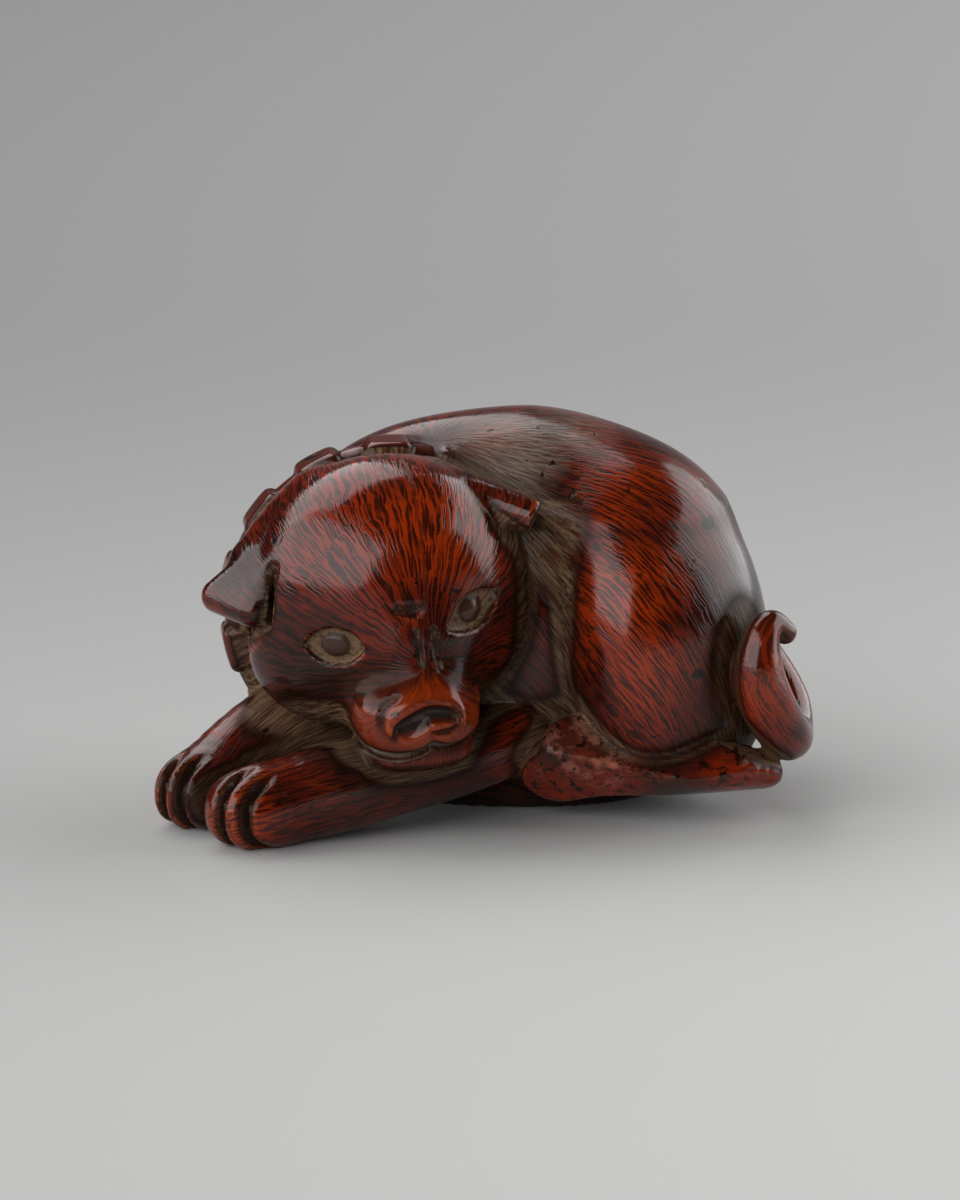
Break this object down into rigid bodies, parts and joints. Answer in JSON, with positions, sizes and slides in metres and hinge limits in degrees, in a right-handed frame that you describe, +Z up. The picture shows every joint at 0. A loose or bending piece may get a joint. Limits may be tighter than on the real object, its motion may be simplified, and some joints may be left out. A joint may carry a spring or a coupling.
{
  "type": "netsuke",
  "caption": "Carved wooden toggle for a hanging cord, shaped as a puppy lying curled up with its head on its crossed forepaws and a pleated collar.",
  "frame": {"origin": "centre of the footprint's bounding box, on the plane the carving stands on", "axes": "+X from the forepaws towards the tail, +Y away from the face, +Z up"},
  "size_m": [0.044, 0.03, 0.0262],
  "materials": {
    "stained_wood": "dark red stained and polished close-grained hardwood, with ink-filled hair strokes and dust in the hollows"
  },
  "bodies": {
    "root": {"netsuke": "stained_wood"}
  },
  "joints": []
}
